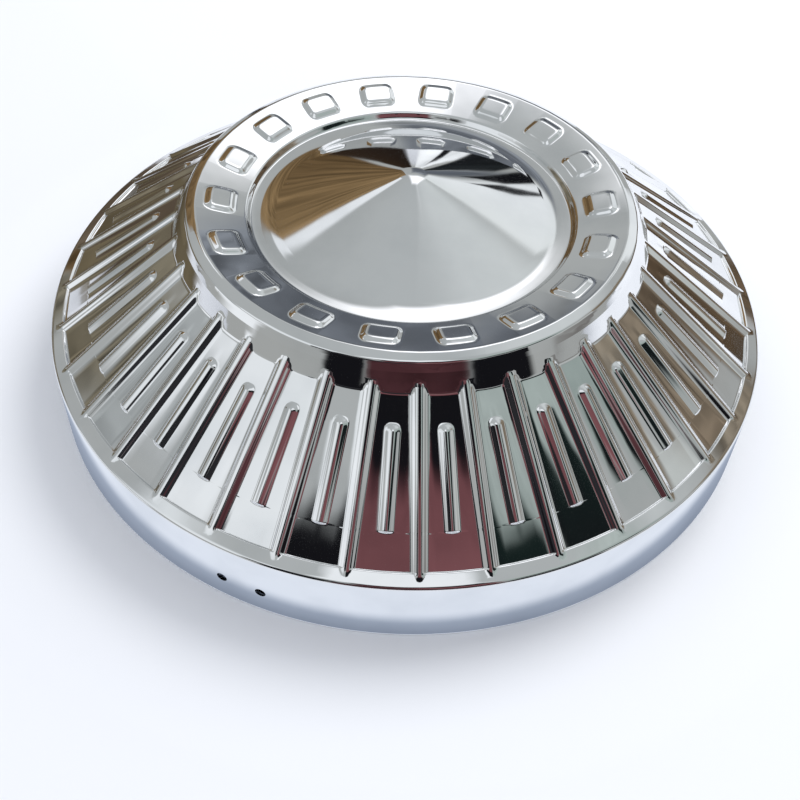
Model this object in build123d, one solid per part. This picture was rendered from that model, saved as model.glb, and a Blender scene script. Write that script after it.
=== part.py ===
from build123d import *
import math
import os

# Dog dish hubcap: one steel blank, pressed, trimmed and plated, lying face up on its rim.
# The origin is the centre of the rim plane and +Z is the wheel's axis, towards the face.
# Sizes are in millimetres. Radii run from the axis, and heights from the rim plane.

# Sheet
sheet = 0.8
forming_slope = 38.0
form_facets = 2
hollow_facets = 1

# Skirt, and the border ring that tops it
cap_radius = 133.35
skirt_height = 27.4
border_width = 5.05
border_rise = 2.3

# Ribbed flange: a cone between the border and the crown, with flat panels pressed in between its ribs
flange_width = 44.4
flange_rise = 35.2
panel_depth = 0.9
panel_reach = 0.3
rib_count = 36
rib_width = 5.6
rib_height = 1.5
bead_width = 5.0
bead_height = 1.2
bead_top_margin = 11.4
bead_foot_margin = 11.4

# Collar and shelf at the crown's foot
collar_height = 3.0
collar_lean = 1.3
shelf_width = 4.6
shelf_rise = 1.4

# Dished ring round the crown, with plain raised pads
shoulder_height = 3.8
shoulder_lean = 1.4
ring_width = 17.8
ring_dip = 4.7
pad_count = 18
pad_length = 13.0
pad_depth = 10.5
pad_corner = 3.0
pad_height = 1.1

# Recess and centre cone
recess_depth = 2.1
recess_lean = 1.5
gutter_width = 6.3
gutter_bend = 24.0
cone_rise = 16.5
tip_width = 6.0
tip_bend = 15.0

# Rolled rim: a flat return and the lip that snaps over the wheel's nubs
return_width = 9.35
lip_height = 9.0

# Pair of small holes in the skirt
hole_diameter = 3.8
hole_height = 10.6
hole_spread = 14.0
holes_panel = 24

# Room that a cutting shape has past the face that it opens
overrun = 1.0

# Corners of the outer face, from the tip to the lip: radius, height, radius on the outside of the bend
lip_radius = cap_radius - return_width
flange_outer = cap_radius - border_width
flange_inner = flange_outer - flange_width
collar_top = flange_inner - collar_lean
shoulder_foot = collar_top - shelf_width
ring_outer = shoulder_foot - shoulder_lean
ring_inner = ring_outer - ring_width
gutter_outer = ring_inner - recess_lean
cone_foot = gutter_outer - gutter_width

flange_foot_z = skirt_height + border_rise
flange_top_z = flange_foot_z + flange_rise
collar_z = flange_top_z + collar_height
shelf_z = collar_z + shelf_rise
ring_top_z = shelf_z + shoulder_height
ring_foot_z = ring_top_z - ring_dip
gutter_z = ring_foot_z - recess_depth
tip_z = gutter_z + cone_rise

CORNERS = [
    (0.0, tip_z, 0.0),
    (tip_width / 2, tip_z, tip_bend),
    (cone_foot, gutter_z, gutter_bend),
    (gutter_outer, gutter_z, 0.0),
    (ring_inner, ring_foot_z, 0.0),
    (ring_outer, ring_top_z, 0.0),
    (shoulder_foot, shelf_z, 0.0),
    (collar_top, collar_z, 0.0),
    (flange_inner, flange_top_z, 0.0),
    (flange_outer, flange_foot_z, 0.0),
    (cap_radius, skirt_height, 0.0),
    (cap_radius, 0.0, 0.0),
    (lip_radius, 0.0, 0.0),
    (lip_radius, lip_height, 0.0),
]


def heading(start, end):
    """Unit direction, in radius and height, from one corner to the next."""
    run = end[0] - start[0]
    rise = end[1] - start[1]
    length = math.hypot(run, rise)
    return run / length, rise / length


def inner_corner(before, corner, after):
    """The corner moved through the sheet, to the right of the way along the outer face."""
    first = heading(before, corner)
    second = heading(corner, after)
    share = sheet / (1 + first[0] * second[0] + first[1] * second[1])
    return corner[0] + share * (first[1] + second[1]), corner[1] - share * (first[0] + second[0])


def fitted_radius(wanted, before, corner, after):
    """A bend's radius, no larger than the two straights beside it leave room for."""
    first = heading(before, corner)
    second = heading(corner, after)
    turn = math.acos(max(-1.0, min(1.0, first[0] * second[0] + first[1] * second[1])))
    room = 0.48 * min(math.dist(before[:2], corner[:2]), math.dist(corner[:2], after[:2]))
    return min(wanted, room / math.tan(turn / 2))


def bends_outwards(before, corner, after):
    """Whether the outer face is on the outside of the bend at a corner."""
    first = heading(before, corner)
    second = heading(corner, after)
    return first[0] * second[1] - first[1] * second[0] < 0


def skin(is_outer):
    """One face of the sheet as corners and bend radii, from the axis to the lip's end."""
    points = [CORNERS[0][:2]]
    triples = list(zip(CORNERS, CORNERS[1:], CORNERS[2:]))
    for before, corner, after in triples:
        points.append(corner[:2] if is_outer else inner_corner(before, corner, after))
    end = CORNERS[-1]
    if is_outer:
        points.append((end[0], end[1] + overrun))
    else:
        points[0] = (0.0, tip_z - sheet)
        points.append((end[0] + sheet, end[1]))
    radii = []
    for triple, here in zip(triples, zip(points, points[1:], points[2:])):
        on_outside = bends_outwards(*triple) == is_outer
        bend = triple[1][2]
        wanted = bend if on_outside else max(bend - sheet, 0.0)
        radii.append(fitted_radius(wanted, *here))
    return points, radii


def turned(is_outer):
    """The solid between one face of the sheet and the axis, closed at the lip's end."""
    points, radii = skin(is_outer)
    path = FilletPolyline(*[(radius, 0, height) for radius, height in points], radius=radii)
    last = points[-1]
    closing = Polyline((last[0], 0, last[1]), (0, 0, last[1]), (0, 0, points[0][1]))
    return revolve(make_face([path, closing]), axis=Axis.Z)


def slope_frame(start, end):
    """Plane on a cone of the face: x down the slope, z out of the sheet."""
    run, rise = heading(start, end)
    return Plane(origin=(start[0], 0, start[1]), x_dir=(run, 0, rise), z_dir=(-rise, 0, run))


def flank_run(height):
    """How far a formed flank runs sideways over a height."""
    return height / math.tan(math.radians(forming_slope))


def inner_inset():
    """How much narrower a form is on the sheet's inner face than on its outer one, each side."""
    return sheet * math.tan(math.radians(forming_slope / 2))


def soft_rectangle(length, width, corner, facets):
    """A rectangle with its corners rounded in a few even facets."""
    reach = corner / math.cos(math.radians(45 / facets))
    points = []
    for step in range(4 * facets):
        angle = math.radians(90 * (step + 0.5) / facets)
        across = math.copysign(length / 2 - corner, math.cos(angle))
        along = math.copysign(width / 2 - corner, math.sin(angle))
        points.append((across + reach * math.cos(angle), along + reach * math.sin(angle)))
    return Polygon(*points, align=None)


def island(length, width, corner, height, is_outer):
    """A raised form with sloping flanks and a flat crest, or the hollow behind it.

    The sizes are those of the form's foot on the outer face. Both start behind the face that they cross.
    """
    low = -sheet / 2 if is_outer else -sheet * 5 / 4
    high = height if is_outer else height - sheet
    grow = flank_run(-low) if is_outer else flank_run(-sheet - low) - inner_inset()
    upright = sheet / 4 if is_outer else overrun
    facets = form_facets if is_outer else hollow_facets
    outline = soft_rectangle(length + 2 * grow, width + 2 * grow, corner + grow, facets)
    prism = extrude(Pos(0, 0, low - upright) * outline, high - low + upright)
    top = prism.faces().sort_by(Axis.Z)[-1]
    return chamfer(top.edges(), flank_run(high - low), high - low, reference=top)


def rib_crest():
    """Half the width of a rib's flat crest."""
    return rib_width / 2 - flank_run(rib_height)


def panel(is_outer):
    """What the pressing of one flat panel takes off the flange's cone, on either face of the sheet.

    Its long sides lie inside the ribs beside it, and its ends reach into the collar and the border.
    """
    half_pitch = math.radians(180 / rib_count)
    slope_length = math.hypot(flange_width, flange_rise)
    behind = 0.0 if is_outer else sheet
    start = -panel_reach - behind
    end = slope_length + panel_reach + behind
    corners = []
    for along, side in ((start, -1), (end, -1), (end, 1), (start, 1)):
        radius = flange_inner + along * flange_width / slope_length
        corners.append((along, side * (radius * math.tan(half_pitch) - rib_crest())))
    floor = Pos(0, 0, -panel_depth - behind) * Polygon(*corners, align=None)
    return extrude(floor, panel_depth + behind + overrun)


def rib(is_outer):
    """A long rib on the flange, straight along the slope, or the hollow behind it."""
    slope_length = math.hypot(flange_width, flange_rise)
    crest = rib_crest()
    top = rib_height - panel_depth
    if is_outer:
        foot = -panel_depth - sheet / 2
        start = -collar_lean
        end = slope_length + border_width / 2
    else:
        foot = -panel_depth - sheet - overrun
        top = top - sheet
        crest = crest - inner_inset()
        start = -panel_reach - sheet
        end = slope_length + panel_reach + sheet
    half = crest + flank_run(top - foot)
    profile = Polygon((half, foot), (crest, top), (-crest, top), (-half, foot), align=None)
    across = Plane(origin=(start, 0, 0), x_dir=(0, 1, 0), z_dir=(1, 0, 0))
    return extrude(across * profile, end - start)


def bead(is_outer):
    """A short round-ended bead on the middle of a panel, or the hollow behind it."""
    length = math.hypot(flange_width, flange_rise) - bead_top_margin - bead_foot_margin
    form = island(length, bead_width, bead_width / 2, bead_height, is_outer)
    return Pos(bead_top_margin + length / 2, 0, -panel_depth) * form


def pad(is_outer):
    """A plain raised pad on the dished ring, or the hollow behind it."""
    return island(pad_depth, pad_length, pad_corner, pad_height, is_outer)


def around(solid, count, first_bearing):
    """Copies of a solid, evenly spaced round the axis."""
    return [Rot(0, 0, first_bearing + 360 / count * step) * solid for step in range(count)]


def panel_bearing(panel):
    """Bearing of a panel's middle: the first rib is on +X, and panel 0 follows it."""
    return 360 / rib_count * (panel + 0.5)


def formed(is_outer):
    """The solid behind one face of the sheet, with panels pressed in and every form raised."""
    flange = slope_frame((flange_inner, flange_top_z), (flange_outer, flange_foot_z))
    ring_middle = ((ring_inner + ring_outer) / 2, (ring_foot_z + ring_top_z) / 2)
    ring = slope_frame(ring_middle, (ring_outer, ring_top_z))
    panels = around(flange * panel(is_outer), rib_count, panel_bearing(0))
    ribs = around(flange * rib(is_outer), rib_count, 0)
    beads = around(flange * bead(is_outer), rib_count, panel_bearing(0))
    pads = around(ring * pad(is_outer), pad_count, panel_bearing(0))
    return turned(is_outer) - panels + (ribs + beads + pads)


def skirt_holes():
    """The two drilled holes, as pins that pass through the skirt alone."""
    half_angle = math.degrees(hole_spread / 2 / cap_radius)
    pin = Cylinder(hole_diameter / 2, 2 * (sheet + overrun), rotation=(0, 90, 0))
    placed = Pos(cap_radius, 0, hole_height) * pin
    return [Rot(0, 0, panel_bearing(holes_panel) + side * half_angle) * placed for side in (-1, 1)]


def hubcap_shell():
    """The whole cap as one solid of even sheet."""
    return formed(True) - formed(False) - skirt_holes()


shell = hubcap_shell()
os.makedirs("parts", exist_ok=True)
export_step(shell, "parts/hubcap_shell.step")
print("solids", len(shell.solids()), "faces", len(shell.faces()))
print("volume in cubic centimetres", round(shell.volume / 1000, 2))
print("height", round(tip_z, 2))
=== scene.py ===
"""Dog dish hubcap: the pressed shell in bright chrome, on a pale studio floor."""

import logging
import math
from collections.abc import Callable, Sequence
from dataclasses import dataclass, field
from enum import Enum

import bmesh
import bpy
from mathutils import Matrix, Vector


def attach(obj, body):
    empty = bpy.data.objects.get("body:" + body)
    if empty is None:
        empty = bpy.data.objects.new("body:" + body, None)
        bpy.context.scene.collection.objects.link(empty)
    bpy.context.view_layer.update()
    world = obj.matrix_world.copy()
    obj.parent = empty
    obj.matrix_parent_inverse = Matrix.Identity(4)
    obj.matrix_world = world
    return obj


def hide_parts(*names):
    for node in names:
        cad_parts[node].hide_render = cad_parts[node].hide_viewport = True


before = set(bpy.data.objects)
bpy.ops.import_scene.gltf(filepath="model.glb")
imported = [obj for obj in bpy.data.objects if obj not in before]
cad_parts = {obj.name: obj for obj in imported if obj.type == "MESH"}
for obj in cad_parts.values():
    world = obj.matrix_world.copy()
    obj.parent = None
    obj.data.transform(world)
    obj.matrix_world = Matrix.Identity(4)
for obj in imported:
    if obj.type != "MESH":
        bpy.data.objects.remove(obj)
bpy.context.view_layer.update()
MM = 0.001
Point = tuple[float, float]
Colour = tuple[float, float, float]
Bearings = Callable[[float], list[float]]
Shape = Callable[[Point, float], Point]
log = logging.getLogger("hubcap")

# Share of a straight that the bend at one of its ends may take
BEND_SHARE = 0.48


class Face(Enum):
    """The two faces of the sheet."""

    OUTER = 0
    INNER = 1


def soft_max(first: float, second: float, blend: float) -> float:
    """The larger of two heights, with the crease between them rounded.

    Args:
        first: one height.
        second: the other height.
        blend: how near the two are where the rounding starts.

    Returns:
        The blended height.
    """
    near = max(blend - abs(first - second), 0.0)
    return max(first, second) + near * near / (4 * blend)


def soft_min(first: float, second: float, blend: float) -> float:
    """The smaller of two heights, with the crease between them rounded."""
    return -soft_max(-first, -second, blend)


def heading(start: Point, end: Point) -> Point:
    """Unit direction, in radius and height, from one point to the next."""
    length = math.dist(start, end)
    return (end[0] - start[0]) / length, (end[1] - start[1]) / length


@dataclass(frozen=True)
class SheetSizes:
    """The sheet and the section that it is pressed to, in millimetres."""

    sheet: float = 0.8
    forming_slope: float = 38.0
    cap_radius: float = 133.35
    skirt_height: float = 27.4
    border_width: float = 5.05
    border_rise: float = 2.3
    flange_width: float = 44.4
    flange_rise: float = 35.2
    collar_height: float = 4.1
    collar_lean: float = 2.3
    shelf_width: float = 1.8
    shelf_rise: float = 2.8
    shoulder_height: float = 1.3
    shoulder_lean: float = 3.2
    ring_width: float = 17.8
    ring_dip: float = 4.7
    recess_depth: float = 2.1
    recess_lean: float = 1.5
    gutter_width: float = 6.3
    cone_rise: float = 16.5
    tip_width: float = 6.0
    lip_radius: float = 124.0
    lip_height: float = 9.0
    tip_bend: float = 15.0
    gutter_bend: float = 24.0
    fold_bend: float = 0.6
    step_bend: float = 0.3
    crest_bend: float = 1.2

    def corners(self) -> list[tuple[float, float, float]]:
        """Corners of the outer face from the tip to the lip's end.

        Returns:
            The radius, the height and the radius on the inside of the bend of each corner.
        """
        flange_out = self.cap_radius - self.border_width
        flange_in = flange_out - self.flange_width
        collar_top = flange_in - self.collar_lean
        shoulder = collar_top - self.shelf_width
        ring_out = shoulder - self.shoulder_lean
        ring_in = ring_out - self.ring_width
        gutter_out = ring_in - self.recess_lean
        cone_foot = gutter_out - self.gutter_width
        foot_z = self.skirt_height + self.border_rise
        top_z = foot_z + self.flange_rise
        collar_z = top_z + self.collar_height
        shelf_z = collar_z + self.shelf_rise
        crest_z = shelf_z + self.shoulder_height
        ring_z = crest_z - self.ring_dip
        gutter_z = ring_z - self.recess_depth
        tip_z = gutter_z + self.cone_rise
        return [
            (0.0, tip_z, 0.0),
            (self.tip_width / 2, tip_z, self.tip_bend),
            (cone_foot, gutter_z, self.gutter_bend),
            (gutter_out, gutter_z, self.crest_bend),
            (ring_in, ring_z, self.fold_bend),
            (ring_out, crest_z, self.crest_bend),
            (shoulder, shelf_z, self.crest_bend),
            (collar_top, collar_z, self.fold_bend),
            (flange_in, top_z, self.fold_bend),
            (flange_out, foot_z, self.step_bend),
            (self.cap_radius, self.skirt_height, self.fold_bend),
            (self.cap_radius, 0.0, self.fold_bend / 3),
            (self.lip_radius, 0.0, self.fold_bend / 3),
            (self.lip_radius, self.lip_height, 0.0),
        ]


class Corner(Enum):
    """Names of the section's corners, in order from the tip."""

    TIP = 0
    TIP_EDGE = 1
    CONE_FOOT = 2
    GUTTER = 3
    RING_INNER = 4
    RING_CREST = 5
    SHOULDER = 6
    COLLAR_TOP = 7
    FLANGE_TOP = 8
    FLANGE_FOOT = 9
    SKIRT_TOP = 10
    SKIRT_FOOT = 11
    LIP_FOOT = 12
    LIP_END = 13


@dataclass
class Section:
    """One face of the sheet as a path of straights and bends."""

    sizes: SheetSizes
    face: Face
    points: list[Point] = field(init=False)
    bends: list[float] = field(init=False)

    def __post_init__(self) -> None:
        """Works out the path's corners, and the bend at each."""
        outer = self.sizes.corners()
        self.points = [corner[:2] for corner in outer]
        self.bends = [0.0] * len(outer)
        if self.face is Face.INNER:
            middle = [self._through(*outer[i - 1 : i + 2]) for i in range(1, len(outer) - 1)]
            start = (0.0, outer[0][1] - self.sizes.sheet)
            end = (outer[-1][0] + self.sizes.sheet, outer[-1][1])
            self.points = [start, *middle, end]
        for i in range(1, len(outer) - 1):
            first = heading(outer[i - 1][:2], outer[i][:2])
            second = heading(outer[i][:2], outer[i + 1][:2])
            outwards = first[0] * second[1] - first[1] * second[0] < 0
            outside = outwards == (self.face is Face.OUTER)
            wanted = outer[i][2] + (self.sizes.sheet if outside else 0.0)
            self.bends[i] = min(wanted, self._room(i))

    def _through(self, before: Sequence[float], corner: Sequence[float], after: Sequence[float]) -> Point:
        """The corner moved through the sheet to its inner face.

        Args:
            before: the corner before it on the outer face.
            corner: the corner.
            after: the corner after it.

        Returns:
            The inner face's corner.
        """
        first = heading(before[:2], corner[:2])
        second = heading(corner[:2], after[:2])
        share = self.sizes.sheet / (1 + first[0] * second[0] + first[1] * second[1])
        return corner[0] + share * (first[1] + second[1]), corner[1] - share * (first[0] + second[0])

    def _turn(self, index: int) -> float:
        """Angle that the path turns by at a corner.

        Args:
            index: the corner's place in the path.

        Returns:
            The angle in radians.
        """
        first = heading(self.points[index - 1], self.points[index])
        second = heading(self.points[index], self.points[index + 1])
        return math.acos(max(-1.0, min(1.0, first[0] * second[0] + first[1] * second[1])))

    def _room(self, index: int) -> float:
        """Largest bend that the straights beside a corner leave room for; the tip's runs on past the axis.

        Args:
            index: the corner's place in the path.

        Returns:
            The bend's radius.
        """
        before = math.dist(self.points[index - 1], self.points[index])
        after = math.dist(self.points[index], self.points[index + 1])
        if index == Corner.TIP_EDGE.value:
            before *= 2
        return BEND_SHARE * min(before, after) / math.tan(self._turn(index) / 2)

    def _tangent(self, index: int, towards: int) -> Point:
        """Where a corner's bend meets the straight towards a neighbouring corner.

        Args:
            index: the corner's place in the path.
            towards: the neighbouring corner's place.

        Returns:
            The point on the straight.
        """
        corner = self.points[index]
        if not self.bends[index]:
            return corner
        along = heading(corner, self.points[towards])
        reach = self.bends[index] * math.tan(self._turn(index) / 2)
        return corner[0] + reach * along[0], corner[1] + reach * along[1]

    def straight(self, start: Corner, shares: Sequence[float]) -> list[Point]:
        """Points on the straight that follows a corner.

        Args:
            start: the corner at the straight's beginning.
            shares: places on it, from 0 at its beginning to 1 at its end.

        Returns:
            The points in order.
        """
        i = start.value
        near = self._tangent(i, i + 1)
        far = self._tangent(i + 1, i)
        return [(near[0] + (far[0] - near[0]) * s, near[1] + (far[1] - near[1]) * s) for s in shares]

    def bend(self, corner: Corner, steps: int) -> list[Point]:
        """Points round a corner's bend, its two ends included.

        Args:
            corner: the corner.
            steps: how many chords the bend gets.

        Returns:
            The points in order.
        """
        i = corner.value
        start = self._tangent(i, i - 1)
        end = self._tangent(i, i + 1)
        first = heading(self.points[i - 1], self.points[i])
        second = heading(self.points[i], self.points[i + 1])
        side = math.copysign(1.0, first[0] * second[1] - first[1] * second[0])
        radius = self.bends[i]
        centre = (start[0] - side * radius * first[1], start[1] + side * radius * first[0])
        path = [start]
        for step in range(1, steps):
            angle = side * self._turn(i) * step / steps
            x, z = start[0] - centre[0], start[1] - centre[1]
            turned = (x * math.cos(angle) - z * math.sin(angle), x * math.sin(angle) + z * math.cos(angle))
            path.append((centre[0] + turned[0], centre[1] + turned[1]))
        return path + [end]


@dataclass
class SlopeFrame:
    """Frame on a cone of the outer face: distance down its slope, and height out of the sheet."""

    origin: Point
    along: Point

    def place(self, point: Point) -> Point:
        """Distance along the slope, and height over it, of a point of the section."""
        run, rise = point[0] - self.origin[0], point[1] - self.origin[1]
        return run * self.along[0] + rise * self.along[1], rise * self.along[0] - run * self.along[1]

    def lifted(self, point: Point, height: float) -> Point:
        """The point moved out of the sheet by a height."""
        return point[0] - height * self.along[1], point[1] + height * self.along[0]


@dataclass(frozen=True)
class RibSizes:
    """Flat panels of the flange, and the ribs and beads on it, in millimetres."""

    count: int = 36
    panel_depth: float = 0.9
    panel_reach: float = 0.3
    step_width: float = 0.4
    rib_width: float = 5.6
    rib_height: float = 1.5
    bead_width: float = 5.0
    bead_height: float = 1.2
    bead_top_margin: float = 11.4
    bead_foot_margin: float = 11.4
    foot_steepness: float = 3.5
    crest_blend: float = 0.45
    bead_blend: float = 1.3
    foot_blend: float = 0.3


@dataclass(frozen=True)
class PadSizes:
    """Raised pads of the dished ring, in millimetres."""

    count: int = 18
    length: float = 13.0
    depth: float = 10.5
    corner: float = 3.0
    height: float = 1.1
    crest_blend: float = 0.35
    foot_blend: float = 0.25


@dataclass(frozen=True)
class HoleSizes:
    """Pair of small holes in the skirt, in millimetres and degrees."""

    diameter: float = 3.8
    height: float = 10.6
    spread: float = 14.0
    bearing: float = 245.0
    window: float = 9.6
    cells: int = 4
    columns: int = 360
    rows_above: tuple[float, ...] = (23.5, 19.0)
    row_below: float = 3.0
    wall_tolerance: float = 0.1
    wall_tilt: float = 0.2


@dataclass(frozen=True)
class MeshSteps:
    """How finely the mesh follows one face of the sheet, with distances in millimetres."""

    arc: int
    cone_columns: int
    shelf_columns: int
    across_pad: int
    border_shares: tuple[float, ...]
    by_rib: tuple[float, ...]
    by_bead: tuple[float, ...]
    by_pad: tuple[float, ...]
    past_bead_top: tuple[float, ...]
    past_bead_foot: tuple[float, ...]
    along_bead: int
    bead_end: float = 3.0
    under_collar: tuple[float, ...] = (0.6, 1.4, 2.0, 2.7, 6.5)
    over_border: tuple[float, ...] = (5.5, 1.2, 0.3)


STEPS = {
    Face.OUTER: MeshSteps(
        arc=4,
        cone_columns=192,
        shelf_columns=240,
        across_pad=22,
        border_shares=(0.02, 0.045, 0.07, 0.1, 0.16, 0.26, 0.4, 0.6),
        by_rib=(0.0, 0.65, 1.15, 1.8, 2.4, 2.95),
        by_bead=(0.0, 0.5, 1.0, 1.5, 2.0, 2.4, 2.8),
        by_pad=(0.0, 2.2, 3.8, 4.6, 5.1, 5.5, 5.9, 6.3, 6.7, 7.2),
        past_bead_top=(-0.5, 0.0, 0.5, 0.95, 1.45, 2.0, 2.6),
        past_bead_foot=(-0.35, -0.05, 0.1, 0.25, 0.4, 0.6, 0.9),
        along_bead=4,
    ),
    Face.INNER: MeshSteps(
        arc=2,
        cone_columns=96,
        shelf_columns=120,
        across_pad=10,
        border_shares=(0.05, 0.15, 0.4),
        by_rib=(0.0, 0.7, 2.5),
        by_bead=(0.0, 1.0, 2.3),
        by_pad=(0.0, 3.8, 5.2, 6.1, 6.9),
        past_bead_top=(-0.3, 0.7, 1.7, 2.6),
        past_bead_foot=(-0.3, 0.4, 1.2),
        along_bead=1,
    ),
}


@dataclass
class Band:
    """A closed strip of the shell between two circles of the section.

    rows are points of the section, bearings gives the angles of one sector's columns at a radius, and
    shape moves a point of a row at such an angle.
    """

    rows: list[Point]
    sectors: int
    bearings: Bearings
    shape: Shape

    def build(self, bm: bmesh.types.BMesh) -> tuple[list[bmesh.types.BMVert], list[bmesh.types.BMVert]]:
        """Adds the strip to a mesh.

        Args:
            bm: the mesh that it is added to.

        Returns:
            The vertices of the first row and those of the last row.
        """
        in_sector = len(self.bearings(self.rows[0][0] or 1.0))
        columns = in_sector * self.sectors
        made = bmesh.ops.create_grid(bm, x_segments=columns, y_segments=len(self.rows) - 1, size=0.5)["verts"]
        pitch = math.tau / self.sectors
        bottom = len(self.rows) - 1
        placed: dict[tuple[int, int], bmesh.types.BMVert] = {}
        for vert in made:
            column = round((vert.co.x + 0.5) * columns)
            row = round((vert.co.y + 0.5) * bottom)
            point = self.rows[row]
            sector, place = divmod(column % columns, in_sector)
            local = self.bearings(point[0] or 1.0)[place]
            radius, height = self.shape(point, local)
            angle = sector * pitch + local
            vert.co = Vector((radius * math.cos(angle), radius * math.sin(angle), height)) * MM
            placed[row, column] = vert
        seam = {placed[row, columns]: placed[row, 0] for row in range(bottom + 1)}
        if not self.rows[0][0]:
            seam.update({placed[0, column]: placed[0, 0] for column in range(1, columns + 1)})
        bmesh.ops.weld_verts(bm, targetmap=seam)
        ends = (0, bottom) if self.rows[0][0] else (bottom, bottom)
        first, last = ([placed[row, column] for column in range(columns)] for row in ends)
        return first, last


def ring_edges(verts: Sequence[bmesh.types.BMVert]) -> list[bmesh.types.BMEdge]:
    """The edges that join vertices round a closed row."""
    wanted = set(verts)
    return list({edge for vert in verts for edge in vert.link_edges if edge.other_vert(vert) in wanted})


@dataclass
class HubcapShell:
    """The pressed shell, both of its faces, from the tip to the lip."""

    sizes: SheetSizes = SheetSizes()
    ribs: RibSizes = RibSizes()
    pads: PadSizes = PadSizes()
    holes: HoleSizes = HoleSizes()
    flange: SlopeFrame = field(init=False)
    flange_length: float = field(init=False)
    collar_turn: float = field(init=False)
    ring: SlopeFrame = field(init=False)
    steep: float = field(init=False)
    inset: float = field(init=False)

    def __post_init__(self) -> None:
        """Sets up the frames of the flange and of the ring, and both sections."""
        corners = self.sizes.corners()
        top, foot = corners[Corner.FLANGE_TOP.value][:2], corners[Corner.FLANGE_FOOT.value][:2]
        self.flange = SlopeFrame(top, heading(top, foot))
        self.flange_length = math.dist(top, foot)
        collar = heading(corners[Corner.COLLAR_TOP.value][:2], top)
        along = self.flange.along
        self.collar_turn = math.tan(math.atan2(-collar[1], collar[0]) - math.atan2(-along[1], along[0]))
        low, high = corners[Corner.RING_INNER.value][:2], corners[Corner.RING_CREST.value][:2]
        self.ring = SlopeFrame(((low[0] + high[0]) / 2, (low[1] + high[1]) / 2), heading(low, high))
        self.steep = math.tan(math.radians(self.sizes.forming_slope))
        self.inset = self.sizes.sheet * math.tan(math.radians(self.sizes.forming_slope / 2))

    def plain(self, point: Point, bearing: float) -> Point:
        """A point of a band that has no raised form."""
        return point

    def even(self, count: int) -> Bearings:
        """Columns evenly spaced in one sector that takes the whole turn."""
        return lambda radius: [math.tau * k / count for k in range(count)]

    def flange_columns(self, by_rib: Sequence[float], by_bead: Sequence[float]) -> Bearings:
        """Columns that follow the parallel sides of a rib and of the beads beside it.

        Args:
            by_rib: distances from the rib's middle line, rising from 0.
            by_bead: distances from the bead's middle line, rising from 0.

        Returns:
            A function from a radius to the bearings of one sector's columns, from the rib's middle.
        """
        half = math.pi / self.ribs.count

        def bearings(radius: float) -> list[float]:
            """Bearings of one sector's columns.

            Args:
                radius: distance from the axis.

            Returns:
                The bearings, rising from the rib's middle.
            """
            near = [math.asin(t / radius) for t in by_rib]
            far = [half - math.asin(t / radius) for t in reversed(by_bead)]
            between = (near[-1] + far[0]) / 2
            rising = [*near, between, *far]
            return rising + [2 * half - angle for angle in reversed(rising[1:-1])]

        return bearings

    def pad_columns(self, distances: Sequence[float]) -> Bearings:
        """Columns that follow the straight sides of a pad.

        Args:
            distances: distances from the pad's middle line, rising from 0.

        Returns:
            A function from a radius to the bearings of one sector's columns.
        """
        half = math.pi / self.pads.count

        def bearings(radius: float) -> list[float]:
            """Bearings of one sector's columns, from the pad's middle."""
            rising = [*[math.asin(t / radius) for t in distances], half]
            return rising + [2 * half - angle for angle in reversed(rising[1:-1])]

        return bearings

    def panel_level(self, level: float, slope: float, floor: float, behind: float) -> float:
        """Level of the flange where its panels are pressed in, from the collar to a step at the border.

        Args:
            level: level of the plain cone, or of the collar or border beside it.
            slope: distance down the slope from the flange's top.
            floor: level of the panel's flat floor.
            behind: how much further the panel runs on this face of the sheet.

        Returns:
            The level after pressing.
        """
        sizes = self.ribs
        reach = sizes.panel_reach + behind
        share = max(0.0, min(1.0, (self.flange_length + reach - slope) / sizes.step_width + 0.5))
        share = share * share * (3 - 2 * share)
        pressed = max(floor, -behind - slope * self.collar_turn)
        return level + share * min(0.0, pressed - level)

    def flange_shape(self, face: Face) -> Shape:
        """Pressing of the panels, ribs and beads on one face.

        Args:
            face: which face of the sheet.

        Returns:
            The function that moves a point of the flange.
        """
        sizes = self.ribs
        half = math.pi / sizes.count
        behind = 0.0 if face is Face.OUTER else self.sizes.sheet
        inset = 0.0 if face is Face.OUTER else self.inset
        bead_half = sizes.bead_width / 2
        first = sizes.bead_top_margin + bead_half
        last = self.flange_length - sizes.bead_foot_margin - bead_half / sizes.foot_steepness

        def shape(point: Point, bearing: float) -> Point:
            """Moves a point of the plain cone to the pressed face.

            Args:
                point: the point of the section.
                bearing: its angle from the middle of a rib.

            Returns:
                The point moved.
            """
            folded = min(bearing, 2 * half - bearing)
            slope, level = self.flange.place(point)
            hollow = point[0] * (1 - math.cos(half - folded)) * -self.flange.along[1]
            floor = hollow - sizes.panel_depth - behind
            rib = self.steep * (sizes.rib_width / 2 - inset - point[0] * math.sin(folded))
            rib = soft_min(rib, sizes.rib_height, sizes.crest_blend) - sizes.panel_depth - behind
            beyond = max(first - slope, sizes.foot_steepness * (slope - last), 0.0)
            bead = self.steep * (bead_half - inset - math.hypot(beyond, point[0] * math.sin(half - folded)))
            bead = soft_min(bead, sizes.bead_height, sizes.bead_blend) + floor
            pressed = self.panel_level(level, slope, floor, behind)
            raised = soft_max(pressed, max(rib, bead), sizes.foot_blend)
            return self.flange.lifted(point, raised - level)

        return shape

    def ring_shape(self, face: Face) -> Shape:
        """Raising of the pads on one face of the dished ring.

        Args:
            face: which face of the sheet.

        Returns:
            The function that moves a point of the ring.
        """
        half = math.pi / self.pads.count
        depth = 0.0 if face is Face.OUTER else self.sizes.sheet
        inset = 0.0 if face is Face.OUTER else self.inset
        sizes = self.pads

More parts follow.
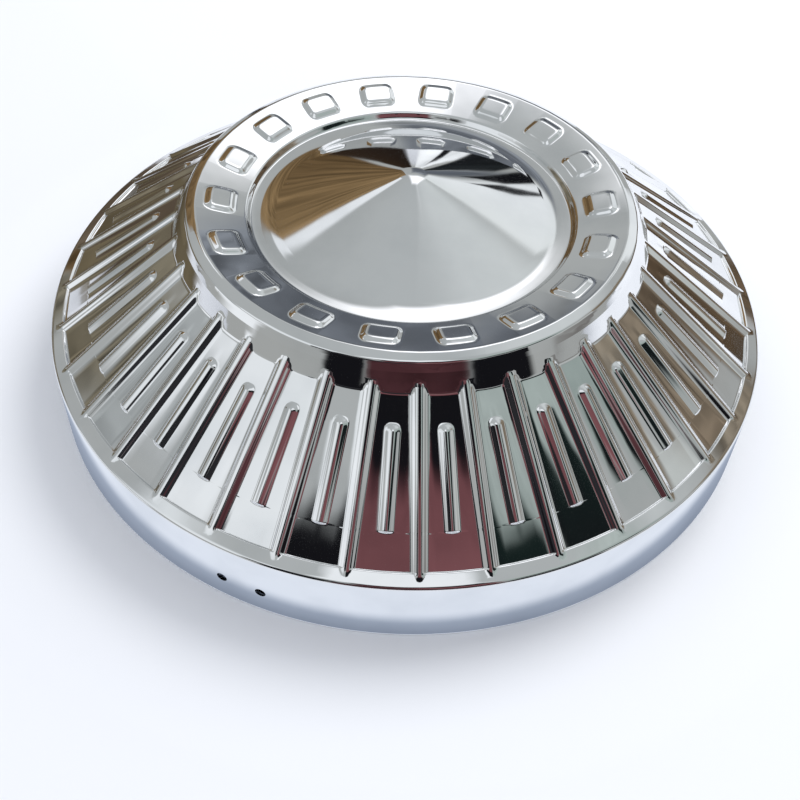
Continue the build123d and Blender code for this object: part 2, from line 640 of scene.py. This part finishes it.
        def shape(point: Point, bearing: float) -> Point:
            """Moves a point of the plain ring to the raised face.

            Args:
                point: the point of the section.
                bearing: its angle from the middle of a pad.

            Returns:
                The point moved.
            """
            folded = min(bearing, 2 * half - bearing)
            slope, level = self.ring.place(point)
            across = abs(slope) - sizes.depth / 2 + sizes.corner
            along = point[0] * math.sin(folded) - sizes.length / 2 + sizes.corner
            outside = math.hypot(max(across, 0.0), max(along, 0.0)) + min(max(across, along), 0.0)
            form = self.steep * (sizes.corner - inset - outside)
            form = soft_min(form, sizes.height, sizes.crest_blend) - depth
            if abs(slope) > self.sizes.ring_width / 2 - sizes.foot_blend:
                return point
            return self.ring.lifted(point, soft_max(level, form, sizes.foot_blend) - level)

        return shape

    def bands(self, face: Face) -> list[Band]:
        """The strips of one face, from the tip to the border.

        Args:
            face: which face of the sheet.

        Returns:
            The strips in order.
        """
        section = Section(self.sizes, face)
        steps = STEPS[face]
        arc = steps.arc
        pad_shares = [(k + 0.5) / steps.across_pad for k in range(steps.across_pad)]
        cone = [
            *section.straight(Corner.TIP, [0.0, 0.5]),
            *section.bend(Corner.TIP_EDGE, 2 * arc),
            *section.straight(Corner.TIP_EDGE, [k / 10 for k in range(1, 10)]),
            *section.bend(Corner.CONE_FOOT, 2 * arc),
            *section.straight(Corner.CONE_FOOT, [0.5]),
            *section.bend(Corner.GUTTER, arc),
        ]
        ring = [
            *section.straight(Corner.GUTTER, [0.4]),
            *section.bend(Corner.RING_INNER, arc),
            *section.straight(Corner.RING_INNER, pad_shares),
            *section.bend(Corner.RING_CREST, arc + 1),
            *section.straight(Corner.RING_CREST, [0.25, 0.5, 0.75]),
            *section.bend(Corner.SHOULDER, arc),
            *section.straight(Corner.SHOULDER, [0.3]),
        ]
        shelf = [
            *section.straight(Corner.SHOULDER, [0.45, 0.8]),
            *section.bend(Corner.COLLAR_TOP, arc),
            *section.straight(Corner.COLLAR_TOP, [0.3, 0.6]),
        ]
        flange = [
            *section.straight(Corner.COLLAR_TOP, [0.75]),
            *section.bend(Corner.FLANGE_TOP, arc - 1),
            *section.straight(Corner.FLANGE_TOP, self.slope_shares(steps)),
            *section.bend(Corner.FLANGE_FOOT, 2),
            *section.straight(Corner.FLANGE_FOOT, steps.border_shares),
        ]
        by_flange = self.flange_columns(steps.by_rib, steps.by_bead)
        return [
            Band(cone, 1, self.even(steps.cone_columns), self.plain),
            Band(ring, self.pads.count, self.pad_columns(steps.by_pad), self.ring_shape(face)),
            Band(shelf, 1, self.even(steps.shelf_columns), self.plain),
            Band(flange, self.ribs.count, by_flange, self.flange_shape(face)),
        ]

    def skirt_rows(self, face: Face) -> list[Point]:
        """Rows of one face from the border's outer part to the lip's end.

        Args:
            face: which face of the sheet.

        Returns:
            The points in order.
        """
        section = Section(self.sizes, face)
        arc = STEPS[face].arc
        return [
            *section.straight(Corner.FLANGE_FOOT, [0.75, 0.9]),
            *section.bend(Corner.SKIRT_TOP, arc),
            *section.straight(Corner.SKIRT_TOP, self.skirt_shares()),
            *section.bend(Corner.SKIRT_FOOT, arc),
            *section.straight(Corner.SKIRT_FOOT, [0.5]),
            *section.bend(Corner.LIP_FOOT, arc),
            *section.straight(Corner.LIP_FOOT, [0.5, 1.0]),
        ]

    def slope_shares(self, steps: MeshSteps) -> list[float]:
        """Places of the flange's rows on its straight, closer together at the ends of the beads.

        Args:
            steps: the mesh's steps on this face.

        Returns:
            Shares of the straight's length.
        """
        length = self.flange_length
        first = self.ribs.bead_top_margin
        last = length - self.ribs.bead_foot_margin
        ends = [first + d for d in steps.past_bead_top] + [last - d for d in steps.past_bead_foot]
        room = last - first - 2 * steps.bead_end
        middle = [first + steps.bead_end + room * k / steps.along_bead for k in range(1, steps.along_bead)]
        outside = [*steps.under_collar, *[length - d for d in steps.over_border]]
        return [place / length for place in sorted(ends + middle + outside)]

    def skirt_shares(self) -> list[float]:
        """Places of the skirt's rows on its straight, even across the holes.

        Returns:
            Shares of the straight's height, from the top.
        """
        sizes = self.holes
        cell = sizes.window / sizes.cells
        across = [sizes.height + sizes.window / 2 - cell * k for k in range(sizes.cells + 1)]
        heights = [*sizes.rows_above, *across, sizes.row_below]
        return [1 - height / self.sizes.skirt_height for height in heights]

    def pierce(self, bm: bmesh.types.BMesh, bearing: float, radius: float) -> list[bmesh.types.BMEdge]:
        """Opens a round hole in the skirt's wall.

        Args:
            bm: the mesh.
            bearing: the hole's bearing, in degrees.
            radius: radius of the wall, in millimetres.

        Returns:
            The edges round the hole.
        """
        sizes = self.holes
        angle = math.radians(bearing)
        centre = Vector((radius * math.cos(angle), radius * math.sin(angle), sizes.height)) * MM
        aside = Vector((-math.sin(angle), math.cos(angle), 0.0))
        reach = math.tau * radius / sizes.columns * sizes.cells / 2 * MM
        window = set()
        for item in bm.faces:
            off = item.calc_center_median() - centre
            if off.length < 2 * reach and abs(item.normal.z) < sizes.wall_tilt:
                on_wall = abs(math.hypot(*(centre + off).xy) - radius * MM) < sizes.wall_tolerance * MM
                if on_wall and abs(off.dot(aside)) < reach and abs(off.z) < sizes.window / 2 * MM:
                    window.add(item)
        around = [
            edge for item in window for edge in item.edges if len(window.intersection(edge.link_faces)) == 1
        ]
        bmesh.ops.delete(bm, geom=list(window), context="FACES")
        outwards = Vector((math.cos(angle), math.sin(angle), 0.0))
        turn = Matrix.Translation(centre) @ outwards.to_track_quat("Z", "Y").to_matrix().to_4x4()
        made = bmesh.ops.create_circle(
            bm, cap_ends=False, segments=4 * sizes.cells, radius=sizes.diameter / 2 * MM, matrix=turn
        )["verts"]
        for vert in made:
            flat = vert.co.xy.normalized() * radius * MM
            vert.co = Vector((flat.x, flat.y, vert.co.z))
        edges = ring_edges(made)
        bmesh.ops.bridge_loops(bm, edges=[*around, *edges])
        return edges

    def build(self) -> bpy.types.Object:
        """Makes the shell's mesh and its object.

        Returns:
            The object, at the origin.
        """
        bm = bmesh.new()
        rows = self.skirt_rows(Face.OUTER) + self.skirt_rows(Face.INNER)[::-1]
        skirt = Band(rows, 1, self.even(self.holes.columns), self.plain).build(bm)
        for face in Face:
            last: list[bmesh.types.BMVert] = []
            for band in self.bands(face):
                first, end = band.build(bm)
                if last:
                    bmesh.ops.bridge_loops(bm, edges=ring_edges(last) + ring_edges(first))
                last = end
            bmesh.ops.bridge_loops(bm, edges=ring_edges(last) + ring_edges(skirt[face.value]))
        sharp: set[bmesh.types.BMEdge] = set()
        aside = math.degrees(self.holes.spread / 2 / self.sizes.cap_radius)
        for side in (-1, 1):
            bearing = self.holes.bearing + side * aside
            bm.normal_update()
            outside = self.pierce(bm, bearing, self.sizes.cap_radius)
            inside = self.pierce(bm, bearing, self.sizes.cap_radius - self.sizes.sheet)
            bmesh.ops.bridge_loops(bm, edges=outside + inside)
            sharp.update(outside + inside)
        bmesh.ops.recalc_face_normals(bm, faces=bm.faces)
        for item in bm.faces:
            item.smooth = True
        for edge in sharp:
            edge.smooth = False
        open_edges = sum(1 for edge in bm.edges if len(edge.link_faces) != 2)
        longest = max(edge.calc_length() for edge in bm.edges) / MM
        triangles = sum(len(item.verts) - 2 for item in bm.faces)
        log.info("shell: %d triangles, %d open edges, longest edge %.1f mm", triangles, open_edges, longest)
        mesh = bpy.data.meshes.new("hubcap_shell_formed")
        bm.to_mesh(mesh)
        bm.free()
        piece = bpy.data.objects.new("hubcap_shell_formed", mesh)
        bpy.context.scene.collection.objects.link(piece)
        even = piece.modifiers.new("even_shading", "WEIGHTED_NORMAL")
        even.keep_sharp = True
        return piece


@dataclass(frozen=True)
class ChromePlate:
    """Bright chrome plate on polished pressed steel."""

    colour: Colour = (0.80, 0.81, 0.82)
    dulled: Colour = (0.70, 0.715, 0.73)
    polish: float = 0.025
    haze: float = 0.075
    haze_scale: float = 38.0
    wave_scale: float = 70.0
    wave_depth: float = 0.00004
    hairline_scale: float = 520.0
    hairline_stretch: tuple[float, float, float] = (1.0, 1.0, 0.05)
    hairline_share: float = 0.35
    haze_start: float = 0.42
    haze_full: float = 0.72
    haze_detail: float = 5.0
    wave_detail: float = 1.0
    hairline_detail: float = 3.0

    def material(self) -> bpy.types.Material:
        """Makes the material.

        Returns:
            The chrome material.
        """
        made = bpy.data.materials.new("chrome_plate")
        made.use_nodes = True
        tree = made.node_tree
        shader = tree.nodes["Principled BSDF"]
        shader.inputs["Metallic"].default_value = 1.0
        place = tree.nodes.new("ShaderNodeTexCoord")
        haze = self.noise(tree, place.outputs["Object"], self.haze_scale, self.haze_detail)
        tint = tree.nodes.new("ShaderNodeMix")
        tint.data_type = "RGBA"
        tint.inputs["A"].default_value = (*self.colour, 1.0)
        tint.inputs["B"].default_value = (*self.dulled, 1.0)
        worn = tree.nodes.new("ShaderNodeMapRange")
        worn.inputs["From Min"].default_value = self.haze_start
        worn.inputs["From Max"].default_value = self.haze_full
        rough = tree.nodes.new("ShaderNodeMapRange")
        rough.inputs["To Min"].default_value = self.polish
        rough.inputs["To Max"].default_value = self.haze
        wave = self.noise(tree, place.outputs["Object"], self.wave_scale, self.wave_detail)
        stretch = tree.nodes.new("ShaderNodeMapping")
        stretch.inputs["Scale"].default_value = self.hairline_stretch
        hairline = self.noise(tree, stretch.outputs["Vector"], self.hairline_scale, self.hairline_detail)
        wavy = tree.nodes.new("ShaderNodeBump")
        wavy.inputs["Distance"].default_value = self.wave_depth
        dull = tree.nodes.new("ShaderNodeMath")
        dull.operation = "MULTIPLY_ADD"
        dull.inputs[1].default_value = self.hairline_share
        tree.links.new(haze, worn.inputs["Value"])
        tree.links.new(worn.outputs["Result"], tint.inputs["Factor"])
        tree.links.new(tint.outputs["Result"], shader.inputs["Base Color"])
        tree.links.new(hairline, dull.inputs[0])
        tree.links.new(worn.outputs["Result"], dull.inputs[2])
        tree.links.new(dull.outputs["Value"], rough.inputs["Value"])
        tree.links.new(rough.outputs["Result"], shader.inputs["Roughness"])
        tree.links.new(place.outputs["Object"], stretch.inputs["Vector"])
        tree.links.new(wave, wavy.inputs["Height"])
        tree.links.new(wavy.outputs["Normal"], shader.inputs["Normal"])
        return made

    def noise(
        self, tree: bpy.types.NodeTree, place: bpy.types.NodeSocket, scale: float, detail: float
    ) -> bpy.types.NodeSocket:
        """Adds a noise pattern to a material.

        Args:
            tree: the material's nodes.
            place: the coordinates that the pattern reads.
            scale: the pattern's cells in a metre.
            detail: how many finer layers it has.

        Returns:
            The pattern's value.
        """
        made = tree.nodes.new("ShaderNodeTexNoise")
        made.inputs["Scale"].default_value = scale
        made.inputs["Detail"].default_value = detail
        tree.links.new(place, made.inputs["Vector"])
        return made.outputs["Fac"]


@dataclass(frozen=True)
class CameraSizes:
    """The photograph's camera: focal length in pixels, place in millimetres, angles in radians."""

    focal: float = 1100.0
    frame_pixels: float = 800.0
    sensor: float = 36.0
    distance: float = 444.52
    elevation: float = 0.7911
    roll: float = 0.0522
    aim_x: float = 404.74
    aim_y: float = 341.56
    bearing: float = -3.64


@dataclass(frozen=True)
class RoomPaint:
    """Light of the reflected cards, read from the colours and the grain on their vertices."""

    colour_layer: str = "card_colour"
    grain_layer: str = "card_grain"
    grain_contrast: float = 5.0
    grain_scale: float = 1.6
    grain_stretch: tuple[float, float, float] = (2.0, 2.0, 14.0)
    grain_detail: float = 4.0
    grain_middle: float = 0.5

    def material(self) -> bpy.types.Material:
        """Makes the material that all the cards share.

        Returns:
            The cards' material, clear where a card fades out.
        """
        made = bpy.data.materials.new("room_light")
        made.use_nodes = True
        made.cycles.emission_sampling = "NONE"
        tree = made.node_tree
        tree.nodes.clear()
        colour = tree.nodes.new("ShaderNodeAttribute")
        colour.attribute_name = self.colour_layer
        amount = tree.nodes.new("ShaderNodeAttribute")
        amount.attribute_name = self.grain_layer
        place = tree.nodes.new("ShaderNodeTexCoord")
        stretch = tree.nodes.new("ShaderNodeMapping")
        stretch.inputs["Scale"].default_value = self.grain_stretch
        grain = tree.nodes.new("ShaderNodeTexNoise")
        grain.inputs["Scale"].default_value = self.grain_scale
        grain.inputs["Detail"].default_value = self.grain_detail
        centred = tree.nodes.new("ShaderNodeMath")
        centred.operation = "SUBTRACT"
        centred.inputs[1].default_value = self.grain_middle
        weighed = tree.nodes.new("ShaderNodeMath")
        weighed.operation = "MULTIPLY"
        level = tree.nodes.new("ShaderNodeMath")
        level.operation = "MULTIPLY_ADD"
        level.inputs[1].default_value = self.grain_contrast
        level.inputs[2].default_value = 1.0
        glow = tree.nodes.new("ShaderNodeEmission")
        clear = tree.nodes.new("ShaderNodeBsdfTransparent")
        mixed = tree.nodes.new("ShaderNodeMixShader")
        out = tree.nodes.new("ShaderNodeOutputMaterial")
        tree.links.new(place.outputs["Object"], stretch.inputs["Vector"])
        tree.links.new(stretch.outputs["Vector"], grain.inputs["Vector"])
        tree.links.new(grain.outputs["Fac"], centred.inputs[0])
        tree.links.new(centred.outputs["Value"], weighed.inputs[0])
        tree.links.new(amount.outputs["Fac"], weighed.inputs[1])
        tree.links.new(weighed.outputs["Value"], level.inputs[0])
        tree.links.new(level.outputs["Value"], glow.inputs["Strength"])
        tree.links.new(colour.outputs["Color"], glow.inputs["Color"])
        tree.links.new(colour.outputs["Alpha"], mixed.inputs["Fac"])
        tree.links.new(clear.outputs["BSDF"], mixed.inputs[1])
        tree.links.new(glow.outputs["Emission"], mixed.inputs[2])
        tree.links.new(mixed.outputs["Shader"], out.inputs["Surface"])
        return made


@dataclass(frozen=True)
class RoomCard:
    """A curved card round the object that only mirrors show, with its place in degrees.

    Azimuth runs from straight behind the object towards the right, and elevation from the floor up.
    The colour runs from low to high over the card, and soft is how far its edges fade.
    A card that ends below the horizon lies on the floor, at elevations seen from the eye's height.
    """

    name: str
    azimuth: tuple[float, float]
    elevation: tuple[float, float]
    low: Colour
    high: Colour
    soft: float = 3.0
    grain: float = 0.0
    distance: float = 1.5
    cells: int = 28
    eye: float = 0.06
    over_floor: float = 0.0003

    def fade(self, azimuth: float, elevation: float) -> float:
        """How solid the card is at a place on it.

        Args:
            azimuth: the place's azimuth.
            elevation: the place's elevation.

        Returns:
            0 on the card's edge, up to 1 inside.
        """
        if not self.soft:
            return 1.0
        aside = min(azimuth - self.azimuth[0], self.azimuth[1] - azimuth)
        above = min(elevation - self.elevation[0], self.elevation[1] - elevation)
        share = max(0.0, min(1.0, min(aside, above) / self.soft))
        return share * share * (3 - 2 * share)

    def build(self, bearing: float, layers: RoomPaint, paint: bpy.types.Material) -> bpy.types.Object:
        """Makes the card.

        Args:
            bearing: how far the whole room is turned about the object, in degrees.
            layers: names of the layers that the paint reads.
            paint: the cards' material.

        Returns:
            The card object.
        """
        bm = bmesh.new()
        colours = bm.verts.layers.float_color.new(layers.colour_layer)
        grains = bm.verts.layers.float.new(layers.grain_layer)
        made = bmesh.ops.create_grid(bm, x_segments=self.cells, y_segments=self.cells, size=0.5)["verts"]
        for vert in made:
            across, up = vert.co.x + 0.5, vert.co.y + 0.5
            azimuth = self.azimuth[0] + (self.azimuth[1] - self.azimuth[0]) * across
            elevation = self.elevation[0] + (self.elevation[1] - self.elevation[0]) * up
            shade = Vector(self.low).lerp(Vector(self.high), up)
            vert[colours] = (*shade, self.fade(azimuth, elevation))
            vert[grains] = self.grain
            turn, lift = math.radians(azimuth - bearing), math.radians(elevation)
            flat, height = math.cos(lift) * self.distance, math.sin(lift) * self.distance
            if self.elevation[1] < 0:
                flat, height = self.eye / math.tan(-lift), self.over_floor
            vert.co = Vector((flat * math.sin(turn), flat * math.cos(turn), height))
        mesh = bpy.data.meshes.new(self.name)
        bm.to_mesh(mesh)
        bm.free()
        mesh.materials.append(paint)
        card = bpy.data.objects.new(self.name, mesh)
        bpy.context.scene.collection.objects.link(card)
        card.visible_camera = False
        card.visible_diffuse = False
        card.visible_shadow = False
        return card


BLACK = (0.008, 0.008, 0.010)
WHITE = (1.0, 1.03, 1.06)

ROOM = (
    RoomCard("dome", (-180, 180), (-1, 90), (0.42, 0.43, 0.42), (0.52, 0.55, 0.56), 0, 0, 3.0),
    RoomCard("pale_right", (15, 100), (36, 84), (0.74, 0.78, 0.78), (0.62, 0.65, 0.66), 18, 0, 2.6),
    RoomCard("white_front_left", (-150, -88), (26, 60), WHITE, (0.80, 0.84, 0.86), 9, 0, 2.4),
    RoomCard("white_left_low", (-116, -84), (3, 25), WHITE, WHITE, 4, 0, 2.2),
    RoomCard("pale_right_low", (88, 116), (3, 26), (0.10, 0.08, 0.075), (0.72, 0.76, 0.74), 4, 0, 2.2),
    RoomCard("white_overhead", (140, 214), (58, 84), WHITE, WHITE, 5, 0, 2.2),
    RoomCard("grey_green_right", (92, 152), (28, 60), (0.28, 0.34, 0.32), (0.52, 0.58, 0.56), 7, 0.15, 2.2),
    RoomCard("taupe_right", (56, 92), (8, 38), (0.17, 0.125, 0.085), (0.32, 0.28, 0.22), 5, 0.5, 2.0),
    RoomCard("brown_right", (36, 66), (-3, 16), (0.09, 0.06, 0.035), (0.14, 0.10, 0.065), 4, 0.5, 1.9),
    RoomCard("grey_left", (-102, -74), (14, 36), (0.34, 0.36, 0.36), (0.52, 0.55, 0.56), 6, 0.2, 2.0),
    RoomCard("olive_left", (-80, -44), (-3, 22), (0.13, 0.105, 0.065), (0.24, 0.22, 0.17), 5, 0.6, 1.9),
    RoomCard("brown_left", (-62, -33), (-0.5, 11), (0.07, 0.05, 0.035), (0.17, 0.13, 0.09), 2, 0.6, 0.4),
    RoomCard("olive_floor", (-92, -38), (-19, -5.5), (0.05, 0.04, 0.025), (0.16, 0.13, 0.08), 2.5, 0.5),
    # Painted reflection: a pale blue ring on the floor, seen only in mirrors, standing in for the floor as
    # the skirt mirrors it, with painted shade darker towards the foot.
    RoomCard("painted_floor_reflection", (0, 360), (-24.3, -18), (0.86, 0.92, 1.04), (0.94, 0.99, 1.07), 0, cells=120),
    # Painted shadow: a thin dark ring on the floor round the skirt's foot, seen only in mirrors, standing in
    # for the floor's contact shade; darkest nearest the foot, lighter at its outer edge.
    RoomCard(
        "painted_foot_shadow",
        (0, 360),
        (-25, -23),
        (0.14, 0.17, 0.24),
        (0.50, 0.57, 0.70),
        0.7,
        cells=120,
        over_floor=0.001,
    ),
    RoomCard("white_left_edge", (-48, -26), (40, 49), WHITE, WHITE, 2.5, 0, 1.8),
    RoomCard("blue_grey_back", (-4, 22), (10, 37), (0.08, 0.09, 0.11), (0.24, 0.26, 0.29), 4, 0.6, 1.75),
    RoomCard("wood_left", (-48, -13), (7, 42), (0.12, 0.075, 0.035), (0.27, 0.18, 0.09), 1.2, 0.55, 1.7),
    RoomCard("dark_back_left", (-21, -1.5), (-3, 9), (0.01, 0.008, 0.008), (0.035, 0.022, 0.014), 1, 0, 1.6),
    RoomCard("white_right", (20, 52), (13, 44), WHITE, (0.86, 0.90, 0.90), 4, 0, 1.8),
    RoomCard("white_back", (0.5, 12), (-3, 6), WHITE, WHITE, 1.0, 0.3, 1.7),
    RoomCard("dark_back_line", (5.5, 7.5), (-2, 4), BLACK, BLACK, 0.6, 0, 1.6),
    RoomCard("dark_right_near", (10, 18.5), (3, 12.5), BLACK, (0.02, 0.024, 0.026), 0.8, 0.4, 1.6),
    RoomCard("dark_right_middle", (19, 23.5), (11, 18), BLACK, BLACK, 0.8, 0.4, 1.6),
    RoomCard("dark_right_far", (23, 27.5), (18, 22.5), BLACK, BLACK, 0.8, 0.4, 1.6),
    RoomCard("bright_back", (-12, 30), (39, 76), (2.1, 2.1, 2.15), (1.2, 1.2, 1.25), 12, 0, 1.8),
    RoomCard("maroon_front", (149, 192), (32, 57), (0.27, 0.11, 0.12), (0.07, 0.025, 0.03), 3, 0.2, 0.9),
    RoomCard("dark_front_high", (147, 195), (45, 60), BLACK, BLACK, 3, 0, 0.85),
    RoomCard("dark_front_left", (193, 214), (33, 44.5), BLACK, BLACK, 3, 0, 0.9),
    RoomCard("dark_front_right", (108, 148), (30, 41), BLACK, (0.01, 0.02, 0.018), 2.5, 0, 0.9),
    RoomCard(
        "maroon_front_low", (152, 196), (-6, 34), (0.04, 0.015, 0.018), (0.09, 0.035, 0.04), 2, 0.4, 0.9
    ),
    RoomCard("dark_front_low_left", (194, 214), (-6, 30), BLACK, BLACK, 3, 0, 0.85),
    RoomCard("dark_front_strip", (173, 220), (25, 38.5), (0.03, 0.03, 0.035), (0.02, 0.02, 0.022), 2, 0, 0.8),
    RoomCard("dark_front_low_right", (126, 154), (-6, 28), BLACK, BLACK, 3, 0, 0.85),
)


@dataclass(frozen=True)
class StudioSizes:
    """The floor, the world's light and the soft lamp, in metres and watts."""

    floor_radius: float = 4.0
    floor_segments: int = 64
    floor_drop: float = 0.0002
    floor_colour: Colour = (0.86, 0.87, 0.89)
    floor_roughness: float = 0.8
    world_colour: Colour = (0.9, 0.93, 1.0)
    world_strength: float = 0.85
    lamp_size: float = 1.2
    lamp_energy: float = 18.0
    lamp_place: tuple[float, float, float] = (0.85, 0.75, 1.35)


@dataclass
class Studio:
    """Floor, soft light, reflected room and camera."""

    view: CameraSizes = CameraSizes()
    sizes: StudioSizes = StudioSizes()

    def room(self) -> None:
        """Makes the cards that the chrome mirrors."""
        layers = RoomPaint()
        paint = layers.material()
        for card in ROOM:
            card.build(self.view.bearing, layers, paint)
        log.info("room: %d cards", len(ROOM))

    def camera(self) -> bpy.types.Object:
        """Makes the camera at the photograph's viewpoint.

        Returns:
            The camera object.
        """
        view = self.view
        right = Vector((1.0, 0.0, 0.0))
        back = Vector((0.0, -math.cos(view.elevation), math.sin(view.elevation)))
        up = back.cross(right)
        spin = Matrix.Rotation(math.radians(view.bearing), 3, "Z")
        location = spin @ (back * view.distance * MM)
        right, up = (
            right * math.cos(view.roll) + up * math.sin(view.roll),
            up * math.cos(view.roll) - right * math.sin(view.roll),
        )
        aside = math.atan2(view.aim_x - view.frame_pixels / 2, view.focal)
        down = math.atan2(view.aim_y - view.frame_pixels / 2, view.focal)
        right, back = (
            right * math.cos(aside) - back * math.sin(aside),
            right * math.sin(aside) + back * math.cos(aside),
        )
        up, back = (
            up * math.cos(down) + back * math.sin(down),
            back * math.cos(down) - up * math.sin(down),
        )
        data = bpy.data.cameras.new("camera")
        data.lens = view.focal * view.sensor / view.frame_pixels
        data.sensor_width = view.sensor
        made = bpy.data.objects.new("camera", data)
        turn = Matrix((spin @ right, spin @ up, spin @ back)).transposed()
        made.matrix_world = Matrix.Translation(location) @ turn.to_4x4()
        bpy.context.scene.collection.objects.link(made)
        bpy.context.scene.camera = made
        return made

    def floor(self) -> bpy.types.Object:
        """Makes the pale floor.

        Returns:
            The floor object.
        """
        bm = bmesh.new()
        sizes = self.sizes
        bmesh.ops.create_circle(
            bm, cap_ends=True, segments=sizes.floor_segments, radius=sizes.floor_radius
        )
        mesh = bpy.data.meshes.new("floor")
        bm.to_mesh(mesh)
        bm.free()
        made = bpy.data.objects.new("floor", mesh)
        made.location.z = -sizes.floor_drop
        paint = bpy.data.materials.new("floor_white")
        paint.use_nodes = True
        shader = paint.node_tree.nodes["Principled BSDF"]
        shader.inputs["Base Color"].default_value = (*sizes.floor_colour, 1.0)
        shader.inputs["Roughness"].default_value = sizes.floor_roughness
        mesh.materials.append(paint)
        bpy.context.scene.collection.objects.link(made)
        return made

    def light(self) -> None:
        """Sets the world's light and one soft lamp."""
        world = bpy.data.worlds.new("studio")
        bpy.context.scene.world = world
        world.use_nodes = True
        shade = world.node_tree.nodes["Background"]
        shade.inputs["Color"].default_value = (*self.sizes.world_colour, 1.0)
        shade.inputs["Strength"].default_value = self.sizes.world_strength
        lamp = bpy.data.lights.new("soft_lamp", "AREA")
        lamp.shape = "DISK"
        lamp.size = self.sizes.lamp_size
        lamp.energy = self.sizes.lamp_energy
        made = bpy.data.objects.new("soft_lamp", lamp)
        made.location = self.sizes.lamp_place
        made.rotation_mode = "QUATERNION"
        made.rotation_quaternion = Vector(made.location).to_track_quat("Z", "Y")
        made.visible_glossy = False
        bpy.context.scene.collection.objects.link(made)


def main() -> None:
    """Builds the shell and the studio."""
    logging.basicConfig(level=logging.INFO)
    bpy.context.scene.view_settings.view_transform = "Standard"
    shell = HubcapShell().build()
    shell.data.materials.append(ChromePlate().material())
    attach(shell, "root")
    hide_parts("hubcap_shell")
    studio = Studio()
    studio.camera()
    studio.floor()
    studio.room()
    studio.light()


if __name__ == "__main__":
    main()
